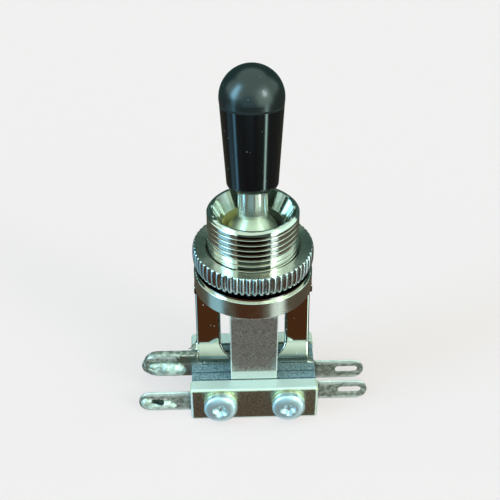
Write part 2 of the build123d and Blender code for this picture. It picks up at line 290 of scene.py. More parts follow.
def ragged(tree, value, scale, spread):
    """A value with noise added, so that a mask made from it has an uneven border."""
    swing = tree.math("MULTIPLY", tree.math("SUBTRACT", noise(tree, scale), 0.5), spread)
    return tree.math("ADD", value, swing)


def specks(tree, scale, size):
    """One inside small scattered specks and zero elsewhere."""
    far = tree.add("TexVoronoi", {"Vector": object_place(tree), "Scale": scale}).outputs["Distance"]
    chosen = tree.ramp(noise(tree, scale * SPECK_SPREAD, detail=1.0), *SPECK_SHARE)
    return tree.math("MULTIPLY", tree.ramp(far, size, size * SPECK_CORE), chosen)


def turned_grain(tree):
    """A noise value in rings round the bushing's axis, like the marks of a turning tool."""
    parts = place_parts(tree)
    squares = tree.math("ADD", tree.math("POWER", parts["X"], 2.0), tree.math("POWER", parts["Y"], 2.0))
    angle = tree.math("MULTIPLY", tree.math("ARCTAN2", parts["Y"], parts["X"]), TURNED_WANDER)
    inputs = {"X": tree.math("SQRT", squares), "Y": angle, "Z": parts["Z"]}
    ring = tree.add("CombineXYZ", inputs).outputs[0]
    inputs = {"Vector": ring, "Scale": TURNED_SCALE, "Detail": 3.0}
    return tree.add("TexNoise", inputs).outputs["Fac"]


def bump(tree, height, depth):
    node = tree.add("Bump", {"Height": height, "Distance": depth, "Strength": 1.0})
    tree.give("Normal", node.outputs[0])


def grain(tree, scale, depth, detail=3.0):
    bump(tree, noise(tree, scale, detail), depth)


def worn_roughness(tree, roughness, spread):
    """A roughness that varies from patch to patch by a share of itself."""
    low, high = roughness * (1 - spread), roughness * (1 + spread)
    return tree.ramp(noise(tree, WEAR_SCALE), *WEAR_BAND, low, high)


def brush_round(tree):
    """Turns an anisotropic gloss to run round the vertical axis."""
    tree.give("Anisotropic Rotation", QUARTER_TURN)
    tangent = tree.add("Tangent", direction_type="RADIAL", axis="Z").outputs[0]
    tree.give("Tangent", tangent)


# Plain finishes

METAL_WEAR = 0.3
METAL_GRAIN = (3000, 0.0004 * MM)
PLASTIC_GRAIN = (2500, 0.004 * MM)
ZINC_GRAIN = (1500, 0.012 * MM)
KNURL_GRAIN = (2500, 0.006 * MM)


def metal(name, colour, roughness, scale_and_depth=METAL_GRAIN):
    """A plain metal with patchy gloss and a fine grain."""
    tree = Finish(name, {"Base Color": colour, "Metallic": 1.0})
    tree.give("Roughness", worn_roughness(tree, roughness, METAL_WEAR))
    grain(tree, *scale_and_depth)


def plastic(name, colour, roughness):
    tree = Finish(name, {"Base Color": colour, "Roughness": roughness, "IOR": 1.5})
    grain(tree, *PLASTIC_GRAIN)


def zinc(name, colour, roughness):
    """Zinc plate, half dull."""
    tree = Finish(name, {"Base Color": colour, "Metallic": 0.8, "Roughness": roughness})
    grain(tree, *ZINC_GRAIN)


# Knob and lever

KNOB_IOR = 1.66
KNOB_SEAM = 17.2 * MM
KNOB_DOME_BAND = (KNOB_SEAM, KNOB_SEAM + 0.1 * MM)
KNOB_SEAM_BAND = (0.16 * MM, 0.10 * MM)
KNOB_ROUGHNESS = 0.13
KNOB_DOME_ROUGHNESS = 0.27
KNOB_BLACK = rgb(0.0012, 0.0028, 0.0042)
KNOB_DOME = rgb(0.006, 0.011, 0.012)
KNOB_DUST = rgb(0.12, 0.20, 0.22)
KNOB_SPECKS = (1300, 0.10)
KNOB_WAVES = (260, 0.0012 * MM, 2.0)
BALL_BAND = (3.3 * MM, 3.1 * MM)
BALL_CHROME = rgb(0.80, 0.82, 0.66)
BALL_ROUGHNESS = 0.40
ROD_CHROME = rgb(0.74, 0.73, 0.66)
ROD_ROUGHNESS = 0.23
ROD_GRAIN = (3000, 0.0003 * MM)


def along_lever(tree):
    """How far a place lies from the pivot, measured along the lever."""
    place = tree.vector("SUBTRACT", object_place(tree), (0, 0, PIVOT_Z))
    axis = (0, math.sin(LEVER_LEAN), math.cos(LEVER_LEAN))
    return tree.vector("DOT_PRODUCT", place, axis, output="Value")


def knob_plastic():
    """Glossy black plastic, duller on the dome, with a dark parting line and specks of dust."""
    tree = Finish("knob_black", {"IOR": KNOB_IOR})
    along = along_lever(tree)
    dome = tree.ramp(along, *KNOB_DOME_BAND)
    seam = tree.ramp(tree.away(along, KNOB_SEAM), *KNOB_SEAM_BAND)
    dust = specks(tree, *KNOB_SPECKS)
    clean = tree.mix(dome, KNOB_BLACK, KNOB_DOME)
    tree.give("Base Color", tree.mix(dust, clean, KNOB_DUST))
    polish = tree.between(dome, KNOB_ROUGHNESS, KNOB_DOME_ROUGHNESS)
    tree.give("Roughness", tree.math("MAXIMUM", polish, seam))
    grain(tree, *KNOB_WAVES)


def lever_metal():
    """Turned metal; its ball is duller than the rod."""
    tree = Finish("lever_chrome", {"Metallic": 1.0, "Anisotropic": 0.8})
    brush_round(tree)
    ball = tree.ramp(along_lever(tree), *BALL_BAND)
    tree.give("Roughness", tree.between(ball, ROD_ROUGHNESS, BALL_ROUGHNESS))
    tree.give("Base Color", tree.mix(ball, ROD_CHROME, BALL_CHROME))
    grain(tree, *ROD_GRAIN)


# Bushing and nut

NICKEL = rgb(0.72, 0.69, 0.62)
KNURL_NICKEL = rgb(0.66, 0.74, 0.75)
POLISHED_LOW = (21.95 * MM, 22.08 * MM)
POLISHED_HIGH = (23.85 * MM, 23.75 * MM)
POLISHED_ROUGHNESS = 0.06
TURNED_WEAR = 0.2
LAND_BAND = (THREAD_CREST_SHARE - 0.05, THREAD_CREST_SHARE + 0.12)
LAND_MIDDLE = -0.05 * MM
LAND_ACROSS = (2.25 * MM, 1.95 * MM)
LAND_FRONT = (0.0, -1.0 * MM)
# Painted reflections on the crest lands: dark in the middle of the front, light elsewhere
LAND_REFLECTION_DARK = rgb(0.06, 0.07, 0.06)
LAND_REFLECTION_LIGHT = rgb(0.82, 0.86, 0.82)
# Painted reflection bands in the bell mouth's colour, dark and light
MOUTH_REFLECTION_DARK = rgb(0.40, 0.42, 0.34)
MOUTH_REFLECTION_LIGHT = rgb(0.62, 0.68, 0.66)
MOUTH_BAND = (0.44, 0.52)
MOUTH_FACETS = 2.6
MOUTH_FACET_DETAIL = 0.6
MOUTH_FACET_DEPTH = 0.3 * MM
# Painted light on the bore's left wall and painted shade on its right
BORE_LIT_SIDE = (1.0 * MM, -1.5 * MM)
BORE_PAINTED_SHADE = rgb(0.20, 0.21, 0.18)
BORE_BRASS = rgb(0.95, 0.86, 0.42)
BORE_GRAIN = (2500, 0.002 * MM)


def turned_metal(name, roughness, anisotropy, depth):
    """Nickel with tool marks in rings round the bushing's axis, polished near the flange's top."""
    tree = Finish(name, {"Base Color": NICKEL, "Metallic": 1.0, "Anisotropic": anisotropy})
    brush_round(tree)
    height = place_parts(tree)["Z"]
    polished = tree.both(tree.ramp(height, *POLISHED_LOW), tree.ramp(height, *POLISHED_HIGH))
    worn = worn_roughness(tree, roughness, TURNED_WEAR)
    tree.give("Roughness", tree.between(polished, worn, POLISHED_ROUGHNESS))
    bump(tree, turned_grain(tree), depth)


def thread_metal():
    """Bright thread whose crest lands carry painted reflections: dark in the middle of the front, light
    elsewhere.
    """
    tree = Finish("thread_nickel", {"Metallic": 1.0, "Roughness": 0.08})
    parts = place_parts(tree)
    turn = tree.math("DIVIDE", tree.math("ARCTAN2", parts["Y"], parts["X"]), TURN)
    rise = tree.math("DIVIDE", tree.math("SUBTRACT", parts["Z"], THREAD_BOTTOM), THREAD_PITCH)
    phase = tree.math("FRACT", tree.math("SUBTRACT", rise, turn))
    share = tree.math("MULTIPLY", tree.away(phase, 0.5), 2.0)
    off = tree.away(parts["X"], LAND_MIDDLE)
    # Painted dark reflection on the crest lands in the middle of the front
    painted_dark_reflection = tree.both(tree.ramp(off, *LAND_ACROSS), tree.ramp(parts["Y"], *LAND_FRONT))
    land = tree.mix(painted_dark_reflection, LAND_REFLECTION_LIGHT, LAND_REFLECTION_DARK)
    tree.give("Base Color", tree.mix(tree.ramp(share, *LAND_BAND), NICKEL, land))


def mouth_metal():
    """The bell mouth's plating, with faint bands that run out from the axis: a bump, and painted reflection
    bands in its colour.
    """
    tree = Finish("mouth_nickel", {"Metallic": 1.0, "Roughness": 0.11})
    parts = place_parts(tree)
    angle = tree.math("ARCTAN2", parts["Y"], parts["X"])
    inputs = {"W": angle, "Scale": MOUTH_FACETS, "Detail": MOUTH_FACET_DETAIL}
    facets = tree.add("TexNoise", inputs, noise_dimensions="1D").outputs[0]
    # The bands in the colour are painted reflections; the bump gives the faint facets
    colour = tree.mix(tree.ramp(facets, *MOUTH_BAND), MOUTH_REFLECTION_DARK, MOUTH_REFLECTION_LIGHT)
    tree.give("Base Color", colour)
    bump(tree, facets, MOUTH_FACET_DEPTH)


def bore_metal():
    """The bore's wall: brass with painted light on the left, and painted shade in grey on the right."""
    tree = Finish("bore_brass", {"Roughness": 0.5, "Metallic": 0.6})
    # Painted light on the left and painted shade in grey on the right, by X; worn here names the lit share
    worn = tree.ramp(place_parts(tree)["X"], *BORE_LIT_SIDE)
    tree.give("Base Color", tree.mix(worn, BORE_PAINTED_SHADE, BORE_BRASS))
    grain(tree, *BORE_GRAIN)


# Solder tin, and the lugs that it covers

TIN_LIGHT = rgb(0.58, 0.60, 0.55)
TIN_DARK = rgb(0.20, 0.20, 0.16)
# Painted highlight along the rims of the tinned lugs
TIN_RIM_HIGHLIGHT = rgb(0.86, 0.90, 0.86)
TIN_METALLIC = 0.6
TIN_DEPTH = 0.22 * MM
TIN_COARSE = 900
TIN_FINE = 3200
TIN_FINE_SHARE = 0.35
RIM_BORDER = (1100, 0.9 * MM)
RIM_START = 0.75 * MM
RIM_FULL = 0.25 * MM
PIT_PLACE = (-13.55 * MM, -3.9 * MM, 2.0 * MM)
PIT_STRETCH = (1.0, 0.0, 1.9)
PIT_BAND = (0.95 * MM, 0.75 * MM)
PIT_BORDER = (1300, 0.9 * MM)
# Painted shade in the solder's pit
PIT_PAINTED_SHADE = rgb(0.02, 0.03, 0.022)
SOLDER_DARK = rgb(0.38, 0.43, 0.38)
SOLDER_LIGHT = rgb(0.82, 0.90, 0.80)
SOLDER_BLOTCH_SCALE = 900
SOLDER_BLOTCH_BAND = (0.32, 0.62)
SOLDER_UNEVEN = 0.35


def tinned_bump(tree, share):
    """The uneven surface of solder tin, as much as share says."""
    fine = tree.math("MULTIPLY", noise(tree, TIN_FINE, detail=2.0), TIN_FINE_SHARE)
    rough = tree.math("ADD", noise(tree, TIN_COARSE, detail=2.0), fine)
    bump(tree, tree.math("MULTIPLY", rough, share), TIN_DEPTH)


def rim_highlight_mask(tree, middle, half_height):
    """One along the long edges of a lug and zero in its middle: where the tin gets its painted highlight.
    """
    off = ragged(tree, tree.away(place_parts(tree)["Z"], middle), *RIM_BORDER)
    return tree.ramp(off, half_height - RIM_START, half_height - RIM_FULL)


def tin_colour(tree, rim, scale, band):
    """Blotchy grey tin, with a painted highlight where rim says."""
    blotch = tree.ramp(noise(tree, scale, detail=4.0), *band)
    return tree.mix(rim, tree.mix(blotch, TIN_DARK, TIN_LIGHT), TIN_RIM_HIGHLIGHT)


def solder_metal():
    """Dull solder, with painted shade in the pit of the front left lug."""
    tree = Finish("solder_tin", {"Roughness": 0.38, "Metallic": 0.5})
    blotch = tree.ramp(noise(tree, SOLDER_BLOTCH_SCALE, detail=4.0), *SOLDER_BLOTCH_BAND)
    off = tree.vector("MULTIPLY", tree.vector("SUBTRACT", object_place(tree), PIT_PLACE), PIT_STRETCH)
    reach = ragged(tree, tree.vector("LENGTH", off, output="Value"), *PIT_BORDER)
    plain = tree.mix(blotch, SOLDER_DARK, SOLDER_LIGHT)
    tree.give("Base Color", tree.mix(tree.ramp(reach, *PIT_BAND), plain, PIT_PAINTED_SHADE))
    tinned_bump(tree, SOLDER_UNEVEN)


# Frame and clamped stack

LUG_RIM_HALF = 2.02 * MM
LUG_FACE_BAND = (-10.5 * MM, -11.0 * MM)
LUG_FACE_BORDER = (500, 1.6 * MM)
LUG_EDGE_START = (-7.9 * MM, -8.3 * MM)
LUG_EDGE_BAND = (LUG_TOP - 0.33 * MM, LUG_TOP - 0.23 * MM)
LUG_BLOTCHES = (1500, (0.35, 0.65))
LUG_ROUGHNESS = 0.33
SHEET_ROUGHNESS = 0.05
SPECK_WHITE = rgb(1.0, 1.0, 0.95)
SHEET_SPECKS = (1500, 0.15)
# Painted shade over the joggle, darker towards its foot, made uneven by noise
JOGGLE_SHADE_COLOUR = rgb(0.24, 0.25, 0.20)
JOGGLE_SHADE_TOP = (8.25 * MM, 6.5 * MM)
JOGGLE_SHADE_FOOT = (5.9 * MM, 6.1 * MM)
UNEVEN_SHADE_SCALE = 700
UNEVEN_SHADE_STRETCH = (0.4, 1.0, 1.0)
UNEVEN_SHADE_LEAST = 0.7
DULL_SIDE = (7.45 * MM, 7.6 * MM)
DULL_HEIGHT = (9.2 * MM, 8.6 * MM)
DULL_ROUGHNESS = 0.3


def frame_sheet():
    """Bright plated sheet with white specks of dust and painted shade on the joggle, tinned dull on the
    ground lug with a painted highlight along its rims.
    """
    tree = Finish("frame_nickel", {"Metallic": 1.0})
    parts = place_parts(tree)
    across, height = parts["X"], parts["Z"]
    face = tree.ramp(ragged(tree, across, *LUG_FACE_BORDER), *LUG_FACE_BAND)
    edge = tree.both(tree.ramp(across, *LUG_EDGE_START), tree.ramp(height, *LUG_EDGE_BAND))
    tinned = tree.math("MAXIMUM", face, edge)
    below = tree.both(face, tree.ramp(height, *reversed(LUG_EDGE_BAND)))
    rim = tree.both(rim_highlight_mask(tree, LUG_MIDDLE, LUG_RIM_HALF), below)
    dust = specks(tree, *SHEET_SPECKS)
    # Painted shade on the joggle, darker towards its foot and uneven
    joggle_shade = tree.both(tree.ramp(height, *JOGGLE_SHADE_TOP), tree.ramp(height, *JOGGLE_SHADE_FOOT))
    uneven_shade = tree.ramp(noise(tree, UNEVEN_SHADE_SCALE, stretch=UNEVEN_SHADE_STRETCH), *WEAR_BAND, UNEVEN_SHADE_LEAST, 1.0)
    plated = tree.mix(dust, tree.mix(tree.both(joggle_shade, uneven_shade), NICKEL, JOGGLE_SHADE_COLOUR), SPECK_WHITE)
    dull = tin_colour(tree, rim, *LUG_BLOTCHES)
    tree.give("Base Color", tree.mix(tinned, plated, dull))
    shine = tree.between(tinned, SHEET_ROUGHNESS, LUG_ROUGHNESS)
    side = tree.ramp(tree.away(across, 0.0), *DULL_SIDE, 0.0, DULL_ROUGHNESS)
    side = tree.both(side, tree.ramp(height, *DULL_HEIGHT))
    rough = tree.math("MAXIMUM", tree.math("MAXIMUM", shine, dust), side)
    tree.give("Roughness", rough)
    pure = tree.between(tinned, 1.0, TIN_METALLIC)
    tree.give("Metallic", tree.math("SUBTRACT", pure, dust))
    tinned_bump(tree, tinned)


# Painted shade: the leaf's colour where it lies in the stack
LEAF_STACK_SHADE = rgb(0.10, 0.11, 0.11)
LEAF_TIN_BAND = (8.4 * MM, 9.6 * MM)
LEAF_LUG_MIDDLE = 1.7 * MM
LEAF_LUG_HALF = 1.65 * MM
LEAF_BLOTCHES = (1700, (0.3, 0.7))
LEAF_ROUGHNESS = 0.14
LEAF_TIN_ROUGHNESS = 0.36


def leaf_sheet():
    """Leaf metal, painted dark with shade in the stack, and tinned uneven on its lug with a painted
    highlight along its rims.
    """
    tree = Finish("leaf_tinned", {"Metallic": 1.0})
    tinned = tree.ramp(tree.away(place_parts(tree)["X"], 0.0), *LEAF_TIN_BAND)
    rim = rim_highlight_mask(tree, LEAF_LUG_MIDDLE, LEAF_LUG_HALF)
    dull = tin_colour(tree, rim, *LEAF_BLOTCHES)
    tree.give("Base Color", tree.mix(tinned, LEAF_STACK_SHADE, dull))
    tree.give("Roughness", tree.between(tinned, LEAF_ROUGHNESS, LEAF_TIN_ROUGHNESS))
    tree.give("Metallic", tree.between(tinned, 1.0, TIN_METALLIC))
    tinned_bump(tree, tinned)


CLAMP_DARK = rgb(0.50, 0.52, 0.42)
CLAMP_LIGHT = rgb(0.86, 0.88, 0.74)
# Painted highlight along the plate's edges and top, and a painted yellowish reflection on the top edge's
# brow
CLAMP_EDGE_HIGHLIGHT = rgb(0.80, 0.84, 0.79)
CLAMP_BROW_REFLECTION = rgb(0.80, 0.80, 0.48)
CLAMP_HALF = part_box("front_clamp_plate")[1].x
CLAMP_TOP_BAND = (STACK_TOP - 0.4 * MM, STACK_TOP - 0.04 * MM)
CLAMP_SIDE_BAND = (CLAMP_HALF - 0.4 * MM, CLAMP_HALF - 0.23 * MM)
CLAMP_FOOT_BAND = (0.52 * MM, 0.36 * MM)
BROW_LOW = (STACK_TOP - 0.65 * MM, STACK_TOP - 0.3 * MM)
BROW_HIGH = (STACK_TOP - 0.1 * MM, STACK_TOP - 0.25 * MM)
CLAMP_SHADE_SCALE = 3500
CLAMP_ROUGHNESS = 0.34
CLAMP_EDGE_ROUGHNESS = 0.50
CLAMP_EDGE_METALLIC = 0.55
CLAMP_GRAIN = (4000, 0.0015 * MM)


def clamp_sheet():
    """Nickel plate that is duller along its edges and on top, where its colour carries a painted highlight,
    with a yellowish painted reflection along the top edge's brow.
    """
    tree = Finish("plate_nickel", {"Metallic": 1.0})
    parts = place_parts(tree)
    top = tree.ramp(parts["Z"], *CLAMP_TOP_BAND)
    side = tree.ramp(tree.away(parts["X"], 0.0), *CLAMP_SIDE_BAND)
    foot = tree.ramp(parts["Z"], *CLAMP_FOOT_BAND)
    edge = tree.math("MAXIMUM", top, tree.math("MAXIMUM", side, foot))
    shade = tree.ramp(noise(tree, CLAMP_SHADE_SCALE), *WEAR_BAND)
    brow_reflection = tree.both(tree.ramp(parts["Z"], *BROW_LOW), tree.ramp(parts["Z"], *BROW_HIGH))
    front = tree.mix(shade, CLAMP_DARK, CLAMP_LIGHT)
    # Painted highlight on the edges and top, painted reflection on the brow
    tree.give("Base Color", tree.mix(edge, front, tree.mix(brow_reflection, CLAMP_EDGE_HIGHLIGHT, CLAMP_BROW_REFLECTION)))
    tree.give("Roughness", tree.between(edge, CLAMP_ROUGHNESS, CLAMP_EDGE_ROUGHNESS))
    tree.give("Metallic", tree.between(edge, 1.0, CLAMP_EDGE_METALLIC))
    grain(tree, *CLAMP_GRAIN)


BLADE_DARK = rgb(0.24, 0.20, 0.18)
BLADE_LIGHT = rgb(0.44, 0.40, 0.37)
BLADE_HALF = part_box("front_blade")[1].x
# Painted highlights along the blade's sides and at its foot
BLADE_SIDE_BAND = (BLADE_HALF - 0.2 * MM, BLADE_HALF - 0.08 * MM)
BLADE_FOOT_BAND = (STACK_TOP + 1.9 * MM, STACK_TOP + 1.5 * MM)
BLADE_FOOT_HIGHLIGHT_SHARE = 0.65
BLADE_METALLIC = 0.68
BLADE_SHADE_SCALE = 5200
BLADE_SHADE_BAND = (0.35, 0.65)
BLADE_GRAIN = (3600, 0.006 * MM, 2.0)


def blade_sheet():
    """Satin spring strip with a fine even grain, with painted highlights along its sides and at its foot.
    """
    tree = Finish("blade_satin", {"Roughness": 0.26})
    parts = place_parts(tree)
    side = tree.ramp(tree.away(parts["X"], 0.0), *BLADE_SIDE_BAND)
    foot = tree.ramp(parts["Z"], *BLADE_FOOT_BAND, 0.0, BLADE_FOOT_HIGHLIGHT_SHARE)
    edge = tree.math("MAXIMUM", side, foot)
    shade = tree.ramp(noise(tree, BLADE_SHADE_SCALE, detail=2.0), *BLADE_SHADE_BAND)
    face = tree.mix(shade, BLADE_DARK, BLADE_LIGHT)
    # Painted highlight on the sides and foot
    tree.give("Base Color", tree.mix(edge, face, CLAMP_EDGE_HIGHLIGHT))
    tree.give("Metallic", tree.between(edge, BLADE_METALLIC, CLAMP_EDGE_METALLIC))
    grain(tree, *BLADE_GRAIN)


FIBRE_DARK = rgb(0.09, 0.14, 0.16)
FIBRE_LIGHT = rgb(0.29, 0.38, 0.42)
FIBRE_SCALE = 5200
FIBRE_STRETCH = (1.0, 1.6, 1.6)
FIBRE_BAND = (0.40, 0.62)
FIBRE_GRAIN = (FIBRE_SCALE, 0.01 * MM)


def fibre_board():
    """Grey fibre board with fine light and dark flecks."""
    tree = Finish("insulator_fibre", {"Roughness": 0.55})
    fleck = tree.ramp(noise(tree, FIBRE_SCALE, stretch=FIBRE_STRETCH), *FIBRE_BAND)
    tree.give("Base Color", tree.mix(fleck, FIBRE_DARK, FIBRE_LIGHT))
    grain(tree, *FIBRE_GRAIN)


# The slot of each CAD node, and its finish

SLOTS = {part["node"]: part["material_slot"] for part in frame["record"]["subparts"]}


def make_finishes():
    """The finish of each material slot, and the extra ones of the bushing and the nut."""
    knob_plastic()
    lever_metal()
    plastic("nylon_white", rgb(0.80, 0.79, 0.74), roughness=0.40)
    turned_metal("bushing_nickel", roughness=0.22, anisotropy=0.4, depth=0.0006 * MM)
    thread_metal()
    mouth_metal()
    bore_metal()
    turned_metal("nut_nickel", roughness=0.21, anisotropy=0.85, depth=0.0005 * MM)
    metal("knurl_nickel", KNURL_NICKEL, 0.26, KNURL_GRAIN)
    frame_sheet()
    clamp_sheet()
    leaf_sheet()
    blade_sheet()
    metal("contact_silver", rgb(0.80, 0.79, 0.76), roughness=0.18)
    zinc("screw_zinc", rgb(0.68, 0.82, 0.88), roughness=0.34)
    zinc("washer_zinc", rgb(0.72, 0.76, 0.52), roughness=0.30)
    plastic("sleeve_plastic", rgb(0.05, 0.05, 0.05), roughness=0.45)
    solder_metal()
    fibre_board()
    metal("pin_steel", rgb(0.60, 0.60, 0.60), roughness=0.25)


def dress_cad_nodes():
    for name, node in frame["nodes"].items():
        node.data.materials.clear()
        node.data.materials.append(MATERIALS[SLOTS[name]])


# Mesh helpers

WELD = 0.0000005
SUPPORT = 0.35


def add_piece(name, mesh, body, slot, *replaced):
    """A finished mesh as a piece of the object, riding on a body and standing for CAD nodes."""
    piece = linked(name, mesh)
    if not mesh.materials:
        mesh.materials.append(MATERIALS[slot])
    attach(piece, body)
    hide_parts(*replaced)
    return piece


def finished_mesh(name, mesh):
    """A mesh of Blender's own from a bmesh, welded, with normals outward and smooth."""
    bmesh.ops.remove_doubles(mesh, verts=mesh.verts, dist=WELD)
    bmesh.ops.recalc_face_normals(mesh, faces=mesh.faces)
    data = bpy.data.meshes.new(name)
    mesh.to_mesh(data)
    mesh.free()
    data.shade_smooth()
    return data


def polar(radius, angle, height):
    return (radius * math.cos(angle), radius * math.sin(angle), height)


def clamped(share):
    return max(0.0, min(1.0, share))


def rounded(corners, steps=3):
    """Flat points along an outline of (across, up, fillet) corners, with a close point by each arc."""
    points = []
    for index, (across, up, fillet) in enumerate(corners):
        here = Vector((across, up))
        if not fillet:
            points.append(here)
            continue
        before = (Vector(corners[index - 1][:2]) - here).normalized()
        after = (Vector(corners[(index + 1) % len(corners)][:2]) - here).normalized()
        turn = math.pi - before.angle(after)
        reach = fillet * math.tan(turn / 2)
        centre = here + (before + after).normalized() * fillet / math.cos(turn / 2)
        start = here + before * reach - centre
        end = here + after * reach - centre
        points.append(centre + start + before * SUPPORT * fillet)
        for step in range(steps + 1):
            share = step / steps
            points.append(centre + start.lerp(end, share).normalized() * fillet)
        points.append(centre + end + after * SUPPORT * fillet)
    return points


def ring_grid(mesh, rows, columns, place, shift=0, slot=None):
    """A tube of faces from place(row, angle); shift joins the last column that many rows up."""
    grid = []
    for row in range(rows):
        grid.append([mesh.verts.new(place(row, TURN * column / columns)) for column in range(columns)])
    for row in range(rows - 1):
        for column in range(columns):
            after = (column + 1) % columns
            lift = 0 if after else shift
            if row + lift + 1 < rows:
                near, far = grid[row][column], grid[row + lift][after]
                face = mesh.faces.new((near, far, grid[row + lift + 1][after], grid[row + 1][column]))
                face.material_index = slot(row) if slot else 0


def lathe(mesh, points, columns, slot=None):
    """Turns an open outline of radius and height points about Z."""
    def place(row, angle):
        radius, height = points[row]
        return polar(radius, angle, height)
    ring_grid(mesh, len(points), columns, place, 0, slot)


def screw_thread(mesh, bottom, top, crest, root, pitch, end_radius, columns, rows_a_turn=22, slot=0):
    """A flat-crested thread between two heights; its end is chamfered down to end_radius."""
    rise = pitch / rows_a_turn
    start = bottom - pitch
    rows = int((top - start + 2 * pitch) / rise) + 1

    def place(row, angle):
        share = abs((row / rows_a_turn) % 1.0 - 0.5) * 2
        flank = clamped((share - THREAD_ROOT_SHARE) / (THREAD_CREST_SHARE - THREAD_ROOT_SHARE))
        rounded_flank = (3 - 2 * flank) * flank * flank
        wave = THREAD_SHARPNESS * flank + (1 - THREAD_SHARPNESS) * rounded_flank
        height = start + row * rise + pitch * angle / TURN
        radius = root + (crest - root) * wave
        radius = min(radius, end_radius + top - height)
        if height > top:
            radius, height = end_radius, top
        if height < bottom:
            radius, height = root, bottom
        return polar(radius, angle, height)
    ring_grid(mesh, rows, columns, place, rows_a_turn, lambda row: slot)


def applied(item):
    """The mesh of an object with its modifiers applied; the object itself goes."""
    depsgraph = bpy.context.evaluated_depsgraph_get()
    data = bpy.data.meshes.new_from_object(item.evaluated_get(depsgraph))
    bpy.data.objects.remove(item)
    return data


def cut(data, cutter_mesh):
    """The mesh less a cutting shape."""
    body = linked("to_cut", data)
    cutter = linked("cutter", cutter_mesh)
    boolean = body.modifiers.new("cut", "BOOLEAN")
    boolean.operation = "DIFFERENCE"
    boolean.object = cutter
    boolean.solver = "EXACT"
    boolean.use_hole_tolerant = True
    result = applied(body)
    bpy.data.objects.remove(cutter)
    return result


# Softened pieces: the CAD form with its sharp edges rounded off

SHARP_ANGLE = math.radians(35)
FLAT_ANGLE = math.radians(0.6)
FLAT_FACE_WEIGHT = 60


def soften(node, body, width):
    """The node's own form with rounded edges, as a piece that stands for it."""
    mesh = bmesh.new()
    mesh.from_mesh(frame["nodes"][node].data)
    bmesh.ops.remove_doubles(mesh, verts=mesh.verts, dist=WELD)
    bmesh.ops.dissolve_limit(mesh, angle_limit=FLAT_ANGLE, verts=mesh.verts, edges=mesh.edges)
    sharp = [edge for edge in mesh.edges if edge.is_manifold and edge.calc_face_angle() > SHARP_ANGLE]
    bmesh.ops.bevel(
        mesh, geom=sharp, offset=width, offset_type="OFFSET", segments=3, profile=0.5,
        affect="EDGES", clamp_overlap=False,
    )
    data = finished_mesh(node + "_soft", mesh)
    piece = add_piece(node + "_soft", data, body, SLOTS[node], node)
    weighted = piece.modifiers.new("weighted", "WEIGHTED_NORMAL")
    weighted.mode = "FACE_AREA"
    weighted.weight = FLAT_FACE_WEIGHT


SOFT_EDGES = {
    "fixed_leaf": 0.10 * MM,
    "moving_terminal": 0.13 * MM,
    "inner_insulator": 0.10 * MM,
    "outer_insulator": 0.10 * MM,
}
WASHER_EDGE = 0.08 * MM
BLADE_EDGE = 0.12 * MM


def soften_sheet_parts():
    for kind, width in SOFT_EDGES.items():
        for side in ("front", "rear"):
            soften(side + "_" + kind, "frame", width)
    soften("lock_washers", "frame", WASHER_EDGE)
    for blade in ("front_blade", "rear_blade"):
        soften(blade, blade, BLADE_EDGE)


# Bushing with its thread

nut_low, nut_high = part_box("knurled_nut")
bushing_low, bushing_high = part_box("bushing")
FLANGE_TOP = nut_low.z
NUT_TOP = nut_high.z
RIM_TOP = bushing_high.z
FLANGE_RADIUS = bushing_high.x
FLANGE_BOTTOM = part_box("frame")[1].z
SPIGOT_BOTTOM = bushing_low.z

THREAD_RADIUS = 5.95 * MM
THREAD_ROOT = 5.68 * MM
THREAD_HIDDEN = 5.70 * MM
RIM_CHAMFER = 0.42 * MM
RIM_EDGE = 0.09 * MM
MOUTH_RADIUS = 5.15 * MM
MOUTH_DEPTH = 2.2 * MM
BORE_RADIUS = 3.95 * MM
BORE_FLOOR = 23.7 * MM
PASSAGE_TOP = 2.3 * MM
PASSAGE_BOTTOM = 3.5 * MM
SPIGOT_RADIUS = 4.1 * MM
STAKE_LIP = 0.3 * MM
SHEET = 1.2 * MM
FLANGE_EDGE = 0.10 * MM
PIN_HOLE_RADIUS = 0.6 * MM
PIN_HOLE_COLUMNS = 32
BUSHING_COLUMNS = 160
BUSHING_CREASE = math.radians(75)
# The bushing's materials, the places of three of them in that list, and the outline rows of the mouth
BUSHING_MATERIALS = ("bushing_nickel", "bore_brass", "mouth_nickel", "thread_nickel")
BORE_SLOT, MOUTH_SLOT, THREAD_SLOT = 1, 2, 3
MOUTH_ROWS = 9


